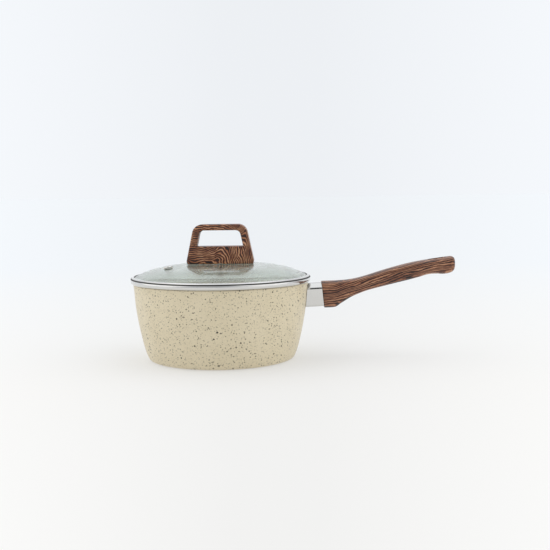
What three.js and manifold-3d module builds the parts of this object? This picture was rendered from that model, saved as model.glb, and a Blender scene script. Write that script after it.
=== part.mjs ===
// Saucepan with a domed glass lid, a loop knob and a long handle.
// Millimetres, +Z up. The origin is the centre of the base, on the surface the pan stands on.
// The handle runs along +X. Every piece is its own closed solid.
import * as THREE from 'three';
import { mergeVertices } from 'three/addons/utils/BufferGeometryUtils.js';
import Module from 'manifold-3d';

const wasm = await Module();
wasm.setup();

// ---- driving dimensions ----
const GAP = 0.3;              // clearance between pieces that touch
const ROUND = 48;             // facets round the pan and the lid
const SMALL_ROUND = 16;       // facets round screws, rings and rivets

const PAN_HEIGHT = 79.3;
const WALL = 2.5;             // pan wall thickness
const BASE_THICKNESS = 5.2;   // from the table to the inside floor
const PLATE_RADIUS = 64;      // steel plate let into the base
const PLATE_THICKNESS = 1.8;
const FOOT_HEIGHT = 0.3;      // the plate stands this much proud of the aluminium
// outside of the wall, as (radius, height), from the heel to the rim
const WALL_LINE = [
  [71.5, FOOT_HEIGHT], [75, 1.6], [76.9, 5], [79.1, 11], [81.7, 21],
  [84.9, 36], [87.9, 55], [89.3, 72], [90, PAN_HEIGHT],
];

const RIM = { drop: 0.7, outside: 0.6, inside: 0.5 };  // chamfers on the rim
const HEEL = { rise: 5, step: 1.8, low: 1.6, flat: 6 };  // how the wall turns into the floor inside
const PLATE_CHAMFER = 0.6;

const HANDLE_HEIGHT = 64.2;   // height of the bracket's tongue
const WALL_SLOPE = 0.11;      // lean of the wall where the bracket sits, in radians
const RIVET_HEIGHTS = { upper: 69.6, lower: 58.7 };
const RIVET_RADIUS = 2.2;
// half of each rivet head's section, as (radius, height above the surface it's set on)
const RIVET_HEAD = [[0, 1.6], [2.6, 1.3], [4.2, 0.5], [4.5, 0]];
const RIVET_TAIL = [[3.3, 0], [3.1, 1.1], [1.8, 1.6], [0, 1.7]];
const RIVET_SEAT = { head: 0.4, tail: 0.65 };  // clearance under each
const FLANGE_THICKNESS = 2;
const FLANGE = { low: 55.1, high: 72.8, half: 6.6 };
const TONGUE = { end: 126, width: 14, thickness: 3 };
const SLANT = 0.1;            // lean of the joint between ferrule and grip
const SLANT_HEIGHT = 66;      // height at which that joint stands at its nominal x
const SLANT_FADE = 30;        // length of grip over which the lean dies out
const FERRULE = {
  start: 86, end: 105, width: 23, side: 18.2, rise: 5.9, wall: 1.6, lift: 0.9, bottom: 52.8, corner: 2.4,
  chamfer: 0.7, crownFacets: 10,
};
const GRIP_START = 105.3;
const GRIP_END = 242.2;
// top and bottom edges of the grip seen from the side, as (x, z)
const GRIP_TOP = [
  [GRIP_START, 78.8], [124, 79.4], [136, 80.7], [148, 83.4], [167, 89.2], [182, 93.4], [199, 97.4],
  [220, 100.8], [GRIP_END, 103.6],
];
const GRIP_BOTTOM = [
  [GRIP_START, 51.3], [117, 51.9], [123.3, 55.4], [130, 59.4], [137, 63.2], [150, 68.3], [167, 72.8],
  [192, 78.8], [204.5, 82], [211, 84.1], [217, 85.2], [223, 85.4], [229, 85], [235.5, 85.8], [GRIP_END, 88],
];
// plan width of the grip along its length, as (x, width)
const GRIP_WIDTH = [[GRIP_START, 25], [118, 24], [142, 20.5], [175, 21], [212, 25.5], [GRIP_END, 23]];
const GRIP_POWER = 2 / 3;     // 1 gives an oval section, 0 a square one
const GRIP_SHOULDER = 0.8;    // chamfer where the grip meets the ferrule
const GRIP_TIP = { length: 4.5, depth: 0.8 };  // rounding of the far end
const HANG_HOLE = { x: 224, length: 19, width: 9.5 };
const SOCKET = { side: 0.5, half: 2.1, deep: 1 };  // room round the tongue in the grip
const HANDLE_SCREW_X = 114;
const SCREW_SEAT = { radius: 5, top: 56.8 };
const SCREW_BORE = { radius: 2.4, top: 71.3 };
const SCREW_SHANK = 1.9;
const SCREW_CLEARANCE = 2.3;  // radius of the holes a screw passes
// section of the handle's screw, as (radius, z)
const HANDLE_SCREW = [
  [0, 53.7], [1.6, 53.7], [1.6, 52.9], [3.4, 53], [4, 53.9], [4, 55.4], [SCREW_SHANK, 55.4],
  [SCREW_SHANK, 69.9], [1.2, 70.6], [0, 70.6],
];
const HANDLE_WASHER = { radius: 4.6, low: 55.7, high: 56.5 };

const GLASS_TOP = 98;       // crown of the glass dome
const GLASS_DROP = 11.8;      // how far the dome falls at DROP_RADIUS
const DROP_RADIUS = 88;
const GLASS_EDGE = 90.2;
const GLASS_THICKNESS = 4;
const GLASS_RADII = [3, 18, 32, 44, 54, 63, 71, 78, 84, 88.4];  // from the knob hole outwards
const GLASS_SKIRT = [[88, 81.4], [GLASS_EDGE, 82.5], [GLASS_EDGE, 84.3]];
// section of the steel band, as (radius, z): inner lip, seat on the pan's rim, curl over the glass
const BAND = [
  [84.9, 76.6], [86, 76.6], [86, 78.8], [86.7, PAN_HEIGHT + GAP], [91.6, PAN_HEIGHT + GAP], [92.6, 80.5],
  [92.9, 82.2], [92.7, 84], [91.9, 85.4], [90.6, 86.3], [89.2, 86.6], [89.2, 86], [90.5, 85.5],
  [91.5, 84.4], [92, 83.2], [92, 81.7], [91.3, 80.6], [85.8, 80.6], [84.9, 79.7], [84.9, 76.6],
];
const VENT = { x: -51.4, y: -25.5, drill: 3.9 };
// section of the vent's eyelet, as (radius, height above the glass)
const EYELET = [
  [2.2, -6.1], [4.9, -6.1], [4.9, -5.4], [3.4, -5.4], [3.4, 1.2], [5.2, 1.2], [5, 1.7], [3.8, 2.2],
  [2.6, 2.1], [2.2, 1.6], [2.2, -6.1],
];
const VENT_GASKET = { inner: 3.7, outer: 5.4, low: 0.35, high: 0.9 };
const VENT_WASHER = { inner: 3.7, outer: 5.8, low: -5.1, high: -4.4 };

const KNOB = {
  base: 98.4, top: 139, foot: 3, halfFoot: 33.9, halfBase: 34.6, lean: THREE.MathUtils.degToRad(12),
  corner: 10, depth: 20, bevel: 1.5, windowBottom: 116.4, windowTop: 133, windowHalf: 23.8, windowCorner: 5.2,
};
const KNOB_RECESS = { radius: 9.6, depth: 1.2 };
const KNOB_BORE = { radius: 3.5, depth: 14.4 };
// rings on the knob's axis, as radii and z
const KNOB_INSERT = { inner: 2.3, outer: 3.2, low: 99.9, high: 112 };
const KNOB_GASKET = { inner: 3.4, outer: 9.2, low: 98.3, high: 99.3 };
const LOWER_GASKET = { inner: 2.6, outer: 9, low: 92.7, high: 93.7 };
const KNOB_WASHER = { inner: 2.3, outer: 8, low: 91.6, high: 92.4 };
const SPRING_WASHER = { inner: 2.3, outer: 4.1, low: 90.4, high: 91.3 };
// section of the knob's screw, as (radius, z)
const KNOB_SCREW = [
  [0, 88.6], [1.3, 88.6], [1.3, 87.7], [2.8, 87.8], [3.9, 88.7], [4.2, 90.1], [SCREW_SHANK, 90.1],
  [SCREW_SHANK, 110.4], [1.3, 111.1], [0, 111.1],
];

// ---- finishes ----
function finish(color, roughness, metalness) {
  return new THREE.MeshStandardMaterial({ color, roughness, metalness });
}
const COATING = finish(0xcfc8b0, 0.55, 0.1);
const STEEL = finish(0xb9babb, 0.25, 1);
const WOOD_PRINT = finish(0x6b4431, 0.4, 0);
const GLASS = finish(0xd6e6e3, 0.05, 0);
const SILICONE = finish(0xcfcbc2, 0.7, 0);
const BRASS = finish(0xb8964e, 0.35, 1);

// ---- shape helpers ----
// solid of revolution about Z from a profile of [radius, z], listed anticlockwise
function lathe(profile, segments = ROUND) {
  const points = profile.map(([r, z]) => new THREE.Vector2(r, z));
  return new THREE.LatheGeometry(points, segments).rotateX(Math.PI / 2);
}

function ring({ inner, outer, low, high }) {
  return lathe([[inner, low], [outer, low], [outer, high], [inner, high], [inner, low]], SMALL_ROUND);
}

function rod(radius, low, high) {
  return lathe([[0, low], [radius, low], [radius, high], [0, high]], SMALL_ROUND);
}

function block(low, high) {
  const size = high.map((value, i) => value - low[i]);
  const centre = high.map((value, i) => (value + low[i]) / 2);
  return new THREE.BoxGeometry(...size).translate(...centre);
}

function toSolid(geometry) {
  const bare = new THREE.BufferGeometry();
  bare.setAttribute('position', geometry.getAttribute('position').clone());
  bare.setIndex(geometry.getIndex());
  const merged = mergeVertices(bare, 1e-4);
  const index = merged.getIndex().array;
  const kept = [];
  for (let i = 0; i < index.length; i += 3) {
    const [a, b, c] = [index[i], index[i + 1], index[i + 2]];
    if (a !== b && b !== c && c !== a) kept.push(a, b, c);
  }
  return new wasm.Manifold(new wasm.Mesh({
    numProp: 3,
    vertProperties: new Float32Array(merged.getAttribute('position').array),
    triVerts: new Uint32Array(kept),
  }));
}

function toGeometry(solid) {
  const mesh = solid.getMesh();
  const geometry = new THREE.BufferGeometry();
  geometry.setAttribute('position', new THREE.BufferAttribute(new Float32Array(mesh.vertProperties), 3));
  geometry.setIndex([...mesh.triVerts]);
  return geometry;
}

function cut(geometry, ...tools) {
  let solid = toSolid(geometry);
  for (const tool of tools) solid = solid.subtract(toSolid(tool));
  return toGeometry(solid);
}

// skin over rings of points that all have the same count, with flat ends
function loft(rings) {
  const count = rings[0].length;
  const positions = rings.flat().flatMap((p) => [p.x, p.y, p.z]);
  const index = [];
  for (let i = 0; i < rings.length - 1; i += 1) {
    for (let j = 0; j < count; j += 1) {
      const a = i * count + j;
      const b = i * count + ((j + 1) % count);
      index.push(a, b, a + count, b, b + count, a + count);
    }
  }
  for (const [ringNumber, flip] of [[0, true], [rings.length - 1, false]]) {
    const centre = positions.length / 3;
    const middle = rings[ringNumber].reduce((sum, p) => sum.add(p), new THREE.Vector3()).divideScalar(count);
    positions.push(middle.x, middle.y, middle.z);
    for (let j = 0; j < count; j += 1) {
      const a = ringNumber * count + j;
      const b = ringNumber * count + ((j + 1) % count);
      if (flip) index.push(centre, b, a);
      else index.push(centre, a, b);
    }
  }
  const geometry = new THREE.BufferGeometry();
  geometry.setAttribute('position', new THREE.Float32BufferAttribute(positions, 3));
  geometry.setIndex(index);
  return geometry;
}

function smoothLine(points, steps) {
  return new THREE.SplineCurve(points.map(([x, y]) => new THREE.Vector2(x, y))).getSpacedPoints(steps);
}

// value of a smooth line of [x, value] points at one x
function valueAt(points, x) {
  const line = smoothLine(points, 200);
  const next = Math.max(1, line.findIndex((p) => p.x >= x - 1e-6));
  const [a, b] = [line[next - 1], line[next]];
  return a.y + ((b.y - a.y) * (x - a.x)) / (b.x - a.x);
}

function mesh(name, geometry, material) {
  const piece = new THREE.Mesh(geometry, material);
  piece.name = name;
  return piece;
}

// ---- pan ----
// wall line pushed out from the wall by an offset, as [radius, z] from low to high
function wallLine(offset, low, high, steps) {
  const line = smoothLine(WALL_LINE, 80).filter((p) => p.y >= low && p.y <= high);
  const result = [];
  for (let i = 0; i <= steps; i += 1) {
    const p = line[Math.round((i * (line.length - 1)) / steps)];
    result.push([p.x + offset, p.y]);
  }
  return result;
}

function panBody() {
  const outside = smoothLine(WALL_LINE, 15).map((p) => [p.x, p.y]);
  const rim = outside.at(-1);
  const innerWall = wallLine(-WALL, BASE_THICKNESS + HEEL.rise, PAN_HEIGHT - 2, 7).reverse();
  const innerHeel = innerWall.at(-1);
  const profile = [
    [0, FOOT_HEIGHT + PLATE_THICKNESS], [PLATE_RADIUS + GAP, FOOT_HEIGHT + PLATE_THICKNESS],
    [PLATE_RADIUS + GAP, FOOT_HEIGHT],
    ...outside.slice(0, -1),
    [rim[0], PAN_HEIGHT - RIM.drop], [rim[0] - RIM.outside, PAN_HEIGHT],
    [rim[0] - WALL + RIM.inside, PAN_HEIGHT],
    ...innerWall,
    [innerHeel[0] - HEEL.step, BASE_THICKNESS + HEEL.low], [innerHeel[0] - HEEL.flat, BASE_THICKNESS],
    [0, BASE_THICKNESS],
  ];
  return mesh('pan_body', cut(lathe(profile), ...rivetHoles()), COATING);
}

function wallRadius(z) {
  return valueAt(WALL_LINE.map(([radius, height]) => [height, radius]), z);
}

// turns a shape built about Z so that its axis stands square on the wall at a height
function atWall(geometry, z) {
  return geometry.rotateY(Math.PI / 2 + WALL_SLOPE).translate(wallRadius(z), 0, z);
}

function rivetHoles() {
  const reach = 8;  // past both faces of the wall and the flange
  return Object.values(RIVET_HEIGHTS).map((z) => atWall(rod(RIVET_RADIUS + GAP, -reach, reach), z));
}

function basePlate() {
  return mesh('induction_base_plate', lathe([
    [0, 0], [PLATE_RADIUS - PLATE_CHAMFER, 0], [PLATE_RADIUS, PLATE_CHAMFER], [PLATE_RADIUS, PLATE_THICKNESS],
    [0, PLATE_THICKNESS],
  ]), STEEL);
}

// ---- handle ----
function bracket() {
  const { low, high, half } = FLANGE;
  const margin = 3;
  const inner = wallLine(GAP, low - margin, high + margin, 4);
  const outer = wallLine(GAP + FLANGE_THICKNESS, low - margin, high + margin, 4);
  const collar = lathe([...outer, ...inner.reverse(), outer[0]]);
  const patch = toSolid(collar).intersect(toSolid(block([60, -half, low], [110, half, high])));
  const z = HANDLE_HEIGHT - TONGUE.thickness / 2;
  const root = wallRadius(HANDLE_HEIGHT) + GAP + FLANGE_THICKNESS - 1;
  const tongue = block([root, -TONGUE.width / 2, z], [TONGUE.end, TONGUE.width / 2, z + TONGUE.thickness]);
  const whole = patch.add(toSolid(tongue));
  const screwHole = rod(SCREW_CLEARANCE, z - 2, z + 6).translate(HANDLE_SCREW_X, 0, 0);
  return mesh('handle_bracket', cut(toGeometry(whole), ...rivetHoles(), screwHole), STEEL);
}

function rivet(name, z) {
  const inside = -WALL - RIVET_SEAT.head;
  const outside = FLANGE_THICKNESS + RIVET_SEAT.tail;
  const geometry = lathe([
    ...RIVET_HEAD.map(([r, h]) => [r, inside - h]), [RIVET_RADIUS, inside],
    [RIVET_RADIUS, outside], ...RIVET_TAIL.map(([r, h]) => [r, outside + h]),
  ]);
  return mesh(name, atWall(geometry, z), STEEL);
}

// outline of the ferrule: flat sides with a creased, arched crown, as points in (y, z)
function ferruleOutline(inset) {
  const { side, corner, chamfer, crownFacets } = FERRULE;
  const half = FERRULE.width / 2 - inset;
  const rise = FERRULE.rise - inset;
  const radius = (half * half + rise * rise) / (2 * rise);
  const spread = Math.asin(half / radius);
  const outline = [
    [-half + corner, inset], [half - corner, inset], [half - chamfer, inset + chamfer],
    [half, inset + corner], [half, side],
  ];
  for (let i = 1; i < crownFacets; i += 1) {
    const angle = spread - (2 * spread * i) / crownFacets;
    outline.push([radius * Math.sin(angle), side + rise - radius + radius * Math.cos(angle)]);
  }
  outline.push([-half, side], [-half, inset + corner], [-half + chamfer, inset + chamfer]);
  return outline;
}

function ferruleTube(inset, start, end) {
  const { bottom, lift } = FERRULE;
  const height = (x) => bottom + (lift * (x - FERRULE.start)) / (FERRULE.end - FERRULE.start);
  const outline = ferruleOutline(inset);
  const rings = [start, end].map((x) => outline.map(([y, z]) => new THREE.Vector3(x, y, height(x) + z)));
  for (const point of rings[1]) point.x += SLANT * (SLANT_HEIGHT - point.z);
  return loft(rings);
}

function ferrule() {
  const low = 30;
  const pan = lathe([[0, low], ...wallLine(GAP, low, PAN_HEIGHT, 8), [0, PAN_HEIGHT + 6]]);
  const shell = cut(
    ferruleTube(0, FERRULE.start - 8, FERRULE.end),
    ferruleTube(FERRULE.wall, FERRULE.start - 16, FERRULE.end + 5),
    pan,
  );
  return mesh('handle_ferrule', shell, STEEL);
}

// one cross-section of the grip: a rounded block between its top and bottom edges
function gripSection(x, shrink) {
  const top = valueAt(GRIP_TOP, x);
  const bottom = valueAt(GRIP_BOTTOM, x);
  const half = valueAt(GRIP_WIDTH, x) / 2 - shrink;
  const tall = (top - bottom) / 2 - shrink;
  const middle = (top + bottom) / 2;
  const slant = SLANT * Math.max(0, 1 - (x - GRIP_START) / SLANT_FADE);
  const section = [];
  const count = 20;
  for (let i = 0; i < count; i += 1) {
    const angle = (2 * Math.PI * (i + 0.5)) / count;
    const [c, s] = [Math.cos(angle), Math.sin(angle)];
    const y = half * Math.sign(c) * Math.abs(c) ** GRIP_POWER;
    const z = middle + tall * Math.sign(s) * Math.abs(s) ** GRIP_POWER;
    section.push(new THREE.Vector3(x + slant * (SLANT_HEIGHT - z), y, z));
  }
  return section;
}

function grip() {
  const steps = 20;
  const tipStart = GRIP_END - GRIP_TIP.length;
  const sections = [gripSection(GRIP_START, GRIP_SHOULDER), gripSection(GRIP_START + GRIP_SHOULDER, 0)];
  for (let i = 1; i <= steps; i += 1) {
    sections.push(gripSection(GRIP_START + ((tipStart - GRIP_START) * i) / steps, 0));
  }
  for (const share of [0.5, 0.85, 1]) {
    const shrink = GRIP_TIP.depth * GRIP_TIP.length * (1 - Math.sqrt(1 - share * share));
    sections.push(gripSection(tipStart + GRIP_TIP.length * share, shrink));
  }
  const slot = new THREE.Shape();
  const reach = (HANG_HOLE.length - HANG_HOLE.width) / 2;
  slot.absarc(reach, 0, HANG_HOLE.width / 2, -Math.PI / 2, Math.PI / 2);
  slot.absarc(-reach, 0, HANG_HOLE.width / 2, Math.PI / 2, 1.5 * Math.PI);
  const hole = new THREE.ExtrudeGeometry(slot, { depth: 60, bevelEnabled: false, curveSegments: 6 });
  hole.translate(HANG_HOLE.x, 0, 60);
  const half = TONGUE.width / 2 + SOCKET.side;
  const socket = block(
    [GRIP_START - 5, -half, HANDLE_HEIGHT - SOCKET.half],
    [TONGUE.end + SOCKET.deep, half, HANDLE_HEIGHT + SOCKET.half],
  );
  const below = 40;
  const seat = rod(SCREW_SEAT.radius, below, SCREW_SEAT.top).translate(HANDLE_SCREW_X, 0, 0);
  const bore = rod(SCREW_BORE.radius, below, SCREW_BORE.top).translate(HANDLE_SCREW_X, 0, 0);
  return mesh('handle_grip', cut(loft(sections), hole, socket, seat, bore), WOOD_PRINT);
}

function handleScrew() {
  return mesh('handle_screw', lathe(HANDLE_SCREW).translate(HANDLE_SCREW_X, 0, 0), STEEL);
}

function handleScrewWasher() {
  const { radius, low, high } = HANDLE_WASHER;
  const washer = ring({ inner: SCREW_CLEARANCE, outer: radius, low, high });
  return mesh('handle_screw_washer', washer.translate(HANDLE_SCREW_X, 0, 0), STEEL);
}

// ---- lid ----
function glassHeight(r) {
  return GLASS_TOP - GLASS_DROP * (r / DROP_RADIUS) ** 4;
}

function glassSlope(r) {
  return (4 * GLASS_DROP * r ** 3) / DROP_RADIUS ** 4;
}

function ventPlace(geometry) {
  const r = Math.hypot(VENT.x, VENT.y);
  const normal = new THREE.Vector3((glassSlope(r) * VENT.x) / r, (glassSlope(r) * VENT.y) / r, 1).normalize();
  const turn = new THREE.Quaternion().setFromUnitVectors(new THREE.Vector3(0, 0, 1), normal);
  return geometry.applyQuaternion(turn).translate(VENT.x, VENT.y, glassHeight(r));
}

function lidGlass() {
  const top = [...GLASS_RADII, GLASS_EDGE - 0.4].map((r) => [r, glassHeight(r)]).reverse();
  const under = GLASS_RADII.map((r) => {
    const lean = Math.hypot(1, glassSlope(r));
    return [r - (GLASS_THICKNESS * glassSlope(r)) / lean, glassHeight(r) - GLASS_THICKNESS / lean];
  });
  under[0] = [GLASS_RADII[0], GLASS_TOP - GLASS_THICKNESS];
  const profile = [...under, ...GLASS_SKIRT, ...top, under[0]];
  return mesh('lid_glass', cut(lathe(profile), ventPlace(rod(VENT.drill, -12, 12))), GLASS);
}

function ventPieces() {
  return [
    mesh('vent_eyelet', ventPlace(lathe(EYELET, SMALL_ROUND)), STEEL),
    mesh('vent_gasket', ventPlace(ring(VENT_GASKET)), SILICONE),
    mesh('vent_washer', ventPlace(ring(VENT_WASHER)), STEEL),
  ];
}

function knobOutline() {
  const k = KNOB;
  const shape = new THREE.Shape();
  const topHalf = k.halfBase - (k.top - k.base - k.foot) * Math.tan(k.lean);
  const run = k.corner * Math.tan((Math.PI / 2 - k.lean) / 2);
  shape.moveTo(-k.halfFoot, k.base);
  shape.lineTo(k.halfFoot, k.base);
  shape.lineTo(k.halfBase, k.base + k.foot);
  shape.absarc(topHalf - run, k.top - k.corner, k.corner, k.lean, Math.PI / 2);
  shape.absarc(run - topHalf, k.top - k.corner, k.corner, Math.PI / 2, Math.PI - k.lean);
  shape.lineTo(-k.halfBase, k.base + k.foot);
  shape.closePath();
  const window = new THREE.Path();
  const windowTopHalf = k.windowHalf - (k.windowTop - k.windowBottom) * Math.tan(k.lean);
  const windowRun = k.windowCorner * Math.tan((Math.PI / 2 - k.lean) / 2);
  window.moveTo(-k.windowHalf, k.windowBottom);
  window.lineTo(k.windowHalf, k.windowBottom);
  window.absarc(windowTopHalf - windowRun, k.windowTop - k.windowCorner, k.windowCorner, k.lean, Math.PI / 2);
  window.absarc(windowRun - windowTopHalf, k.windowTop - k.windowCorner, k.windowCorner, Math.PI / 2,
    Math.PI - k.lean);
  window.closePath();
  shape.holes.push(window);
  return shape;
}

function lidKnob() {
  const body = new THREE.ExtrudeGeometry(knobOutline(), {
    depth: KNOB.depth - 2 * KNOB.bevel, curveSegments: 6, bevelEnabled: true, bevelSegments: 2,
    bevelSize: KNOB.bevel, bevelThickness: KNOB.bevel, bevelOffset: -KNOB.bevel,
  });
  body.rotateX(Math.PI / 2).translate(0, KNOB.depth / 2 - KNOB.bevel, 0);
  const below = KNOB.base - 5;
  const recess = rod(KNOB_RECESS.radius, below, KNOB.base + KNOB_RECESS.depth);
  const bore = rod(KNOB_BORE.radius, below, KNOB.base + KNOB_BORE.depth);
  return mesh('lid_knob', cut(body, recess, bore), WOOD_PRINT);
}

// what holds the knob: everything threads onto the centre axis
function knobFixings() {
  return [
    mesh('knob_insert', ring(KNOB_INSERT), BRASS),
    mesh('knob_gasket', ring(KNOB_GASKET), SILICONE),
    mesh('under_glass_gasket', ring(LOWER_GASKET), SILICONE),
    mesh('knob_washer', ring(KNOB_WASHER), STEEL),
    mesh('knob_spring_washer', ring(SPRING_WASHER), STEEL),
    mesh('knob_screw', lathe(KNOB_SCREW), STEEL),
  ];
}

const pan = new THREE.Group();
pan.add(panBody(), basePlate());

const handle = new THREE.Group();
handle.add(bracket(), ferrule(), grip(), handleScrew(), handleScrewWasher());
for (const [place, z] of Object.entries(RIVET_HEIGHTS)) handle.add(rivet(`bracket_rivet_${place}`, z));

const lid = new THREE.Group();
lid.add(lidGlass(), mesh('lid_rim_band', lathe(BAND), STEEL), ...ventPieces(), lidKnob(), ...knobFixings());

const saucepan = new THREE.Group();
saucepan.add(pan, handle, lid);
export default saucepan;
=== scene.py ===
"""Saucepan with a domed glass lid, a loop knob and a long handle, dressed around its CAD frame.

Lengths in the settings and profiles are millimetres; Blender objects are in metres.
"""

import math

import bmesh
import bpy
from mathutils import Matrix, Quaternion, Vector


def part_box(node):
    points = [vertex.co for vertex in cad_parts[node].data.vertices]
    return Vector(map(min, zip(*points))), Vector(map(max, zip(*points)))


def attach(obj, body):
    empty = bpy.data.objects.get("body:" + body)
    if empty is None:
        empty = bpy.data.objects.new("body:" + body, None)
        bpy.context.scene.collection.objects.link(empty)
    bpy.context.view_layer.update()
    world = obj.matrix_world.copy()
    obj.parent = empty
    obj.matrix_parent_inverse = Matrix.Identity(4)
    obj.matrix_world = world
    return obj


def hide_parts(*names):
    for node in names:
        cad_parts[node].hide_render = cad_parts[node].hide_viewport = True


bl_info = {
    "name": "Saucepan with glass lid",
    "version": (1, 0, 0),
    "blender": (4, 5, 0),
    "location": "3D View > Sidebar > Saucepan",
    "description": "Builds a stone-coated saucepan, its glass lid and its handle around a CAD frame",
    "category": "Object",
}

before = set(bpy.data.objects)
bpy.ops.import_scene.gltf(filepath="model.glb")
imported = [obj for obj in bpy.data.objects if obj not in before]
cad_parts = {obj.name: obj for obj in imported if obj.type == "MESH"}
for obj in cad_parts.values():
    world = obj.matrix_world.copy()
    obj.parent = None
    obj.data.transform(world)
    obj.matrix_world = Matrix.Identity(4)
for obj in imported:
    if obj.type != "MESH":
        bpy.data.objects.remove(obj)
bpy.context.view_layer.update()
MM = 0.001
ROUND = 240  # facets round the pan and the lid
SMALL_ROUND = 64  # facets round screws, rings and rivets
WALL_STEPS = 70  # points along the curve of the pan's wall
GRIP_STEPS = 200  # points along each edge of the grip


def low_high(node):
    """Lowest and highest corner of a CAD node, in millimetres."""
    low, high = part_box(node)
    return low / MM, high / MM


# ---------------------------------------------------------------- shape, in millimetres

PAN_LOW, PAN_HIGH = low_high("pan_body")
WALL = 2.5
BASE_FLOOR = 5.2  # inside floor of the pan
PLATE_GAP = 0.3
# outside of the wall from the heel to the rim, as (radius, height)
WALL_LINE = [
    (71.5, PAN_LOW.z), (75, 1.6), (76.9, 5), (79.1, 11), (81.7, 21),
    (84.9, 36), (87.9, 55), (89.3, 72), (PAN_HIGH.x, PAN_HIGH.z),
]  # fmt: skip
WALL_SLOPE = 0.11  # lean of the wall at the handle, in radians
RIVET_HEIGHTS = {"upper": 69.6, "lower": 58.7}
RIVET_RADIUS = 2.2
FLANGE = 2.0  # thickness of the bracket's flange

GRIP_HIGH = low_high("handle_grip")[1]
GRIP_START, GRIP_END = 105.3, GRIP_HIGH.x - 1.0
SLANT = 0.1  # lean of the joint between ferrule and grip
SLANT_HEIGHT = 66.0  # where that joint stands at GRIP_START
SLANT_FADE = 30.0  # length of grip over which the lean dies out
GRIP_TOP = [
    (GRIP_START, 78.8), (124, 79.4), (136, 80.7), (148, 83.4), (167, 89.2), (182, 93.4), (199, 97.4),
    (220, 100.8), (GRIP_END, 103.6),
]  # fmt: skip
GRIP_BOTTOM = [
    (GRIP_START, 51.3), (117, 51.9), (123.3, 55.4), (130, 59.4), (137, 63.2), (150, 68.3), (167, 72.8),
    (192, 78.8), (204.5, 82), (211, 84.1), (217, 85.2), (223, 85.4), (229, 85), (235.5, 85.8),
    (GRIP_END, 88),
]  # fmt: skip
GRIP_WIDTH = [(GRIP_START, 25), (118, 24), (142, 20.5), (175, 21), (212, 25.5), (GRIP_END, 23)]
HANG_HOLE = {"x": 224.0, "length": 19.0, "width": 9.5}
SCREW_LOW, SCREW_HIGH = low_high("handle_screw")
HANDLE_SCREW_X = (SCREW_LOW.x + SCREW_HIGH.x) / 2
TONGUE = {"end": 126.0, "half": 7.5, "height": 64.2, "slot": 2.1}
SCREW_SEAT, SCREW_BORE = 56.8, 71.3

GLASS_HIGH = low_high("lid_glass")[1]
GLASS_DROP = 11.8  # how far the dome falls at DROP_RADIUS
DROP_RADIUS = 88.0
KNOB_LOW, KNOB_HIGH = low_high("lid_knob")


def glass_height(radius):
    return GLASS_HIGH.z - GLASS_DROP * (radius / DROP_RADIUS) ** 4


def glass_slope(radius):
    return 4 * GLASS_DROP * radius**3 / DROP_RADIUS**4


CAMERA_PLACE = (0.0561, -0.9304, 0.1692)  # of the main camera, in metres


# ---------------------------------------------------------------- colours and nodes


def linear(hex_colour):
    """Linear RGBA from an sRGB colour such as 'd6cfb7'."""
    channels = [int(hex_colour[i : i + 2], 16) / 255 for i in (0, 2, 4)]
    return tuple(c / 12.92 if c <= 0.04045 else ((c + 0.055) / 1.055) ** 2.4 for c in channels) + (1.0,)


def add_node(tree, kind, inputs=None, **settings):
    """Adds a node. Each input is a value, or a socket to link from."""
    node = tree.nodes.new(kind)
    for name, value in settings.items():
        setattr(node, name, value)
    for key, value in (inputs or {}).items():
        if isinstance(value, bpy.types.NodeSocket):
            tree.links.new(value, node.inputs[key])
        else:
            node.inputs[key].default_value = value
    return node


def new_material(name, **surface):
    """A material with one Principled shader, and that shader."""
    material = bpy.data.materials.new(name)
    material.use_nodes = True
    tree = material.node_tree
    tree.nodes.clear()
    shader = add_node(tree, "ShaderNodeBsdfPrincipled", {k.replace("_", " "): v for k, v in surface.items()})
    add_node(tree, "ShaderNodeOutputMaterial", {"Surface": shader.outputs[0]})
    return material, tree, shader


def object_millimetres(tree):
    """Object coordinates in millimetres."""
    place = add_node(tree, "ShaderNodeTexCoord").outputs["Object"]
    return add_node(
        tree, "ShaderNodeVectorMath", {0: place, "Scale": 1 / MM}, operation="SCALE"
    ).outputs["Vector"]


def noise(tree, vector, size, detail=2.0, **settings):
    """Noise whose lumps are about size millimetres across, from 0 to 1."""
    return add_node(
        tree, "ShaderNodeTexNoise", {"Vector": vector, "Scale": 1 / size, "Detail": detail}, **settings
    ).outputs["Fac"]


def arithmetic(tree, operation, *values):
    return add_node(
        tree, "ShaderNodeMath", dict(enumerate(values)), operation=operation
    ).outputs[0]


def remap(tree, value, low, high, to_low=0.0, to_high=1.0):
    return add_node(
        tree,
        "ShaderNodeMapRange",
        {"Value": value, "From Min": low, "From Max": high, "To Min": to_low, "To Max": to_high},
    ).outputs["Result"]


def colour_of(node):
    """The colour output of a Mix node, whose sockets share one name."""
    return next(s for s in node.outputs if s.type == "RGBA")


def blend_colours(tree, share, first, second, blend="MIX"):
    """Mixes two colours, each a socket or a linear RGBA value."""
    node = tree.nodes.new("ShaderNodeMix")
    node.data_type = "RGBA"
    node.blend_type = blend
    sockets = [node.inputs[0]] + [s for s in node.inputs if s.type == "RGBA"]
    for socket, value in zip(sockets, (share, first, second)):
        if isinstance(value, bpy.types.NodeSocket):
            tree.links.new(value, socket)
        else:
            socket.default_value = value
    return colour_of(node)


def colour_ramp(tree, value, stops):
    """A colour ramp through (position, sRGB hex) stops."""
    node = add_node(tree, "ShaderNodeValToRGB", {"Fac": value})
    while len(node.color_ramp.elements) < len(stops):
        node.color_ramp.elements.new(0.5)
    for element, (position, colour) in zip(node.color_ramp.elements, stops):
        element.position = position
        element.color = linear(colour)
    return node.outputs["Color"]


def bump(tree, shader, height, depth, strength=1.0):
    """Bumps the surface by up to depth millimetres."""
    node = add_node(
        tree, "ShaderNodeBump", {"Height": height, "Distance": depth * MM, "Strength": strength}
    )
    tree.links.new(node.outputs["Normal"], shader.inputs["Normal"])


# ---------------------------------------------------------------- materials

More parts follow.
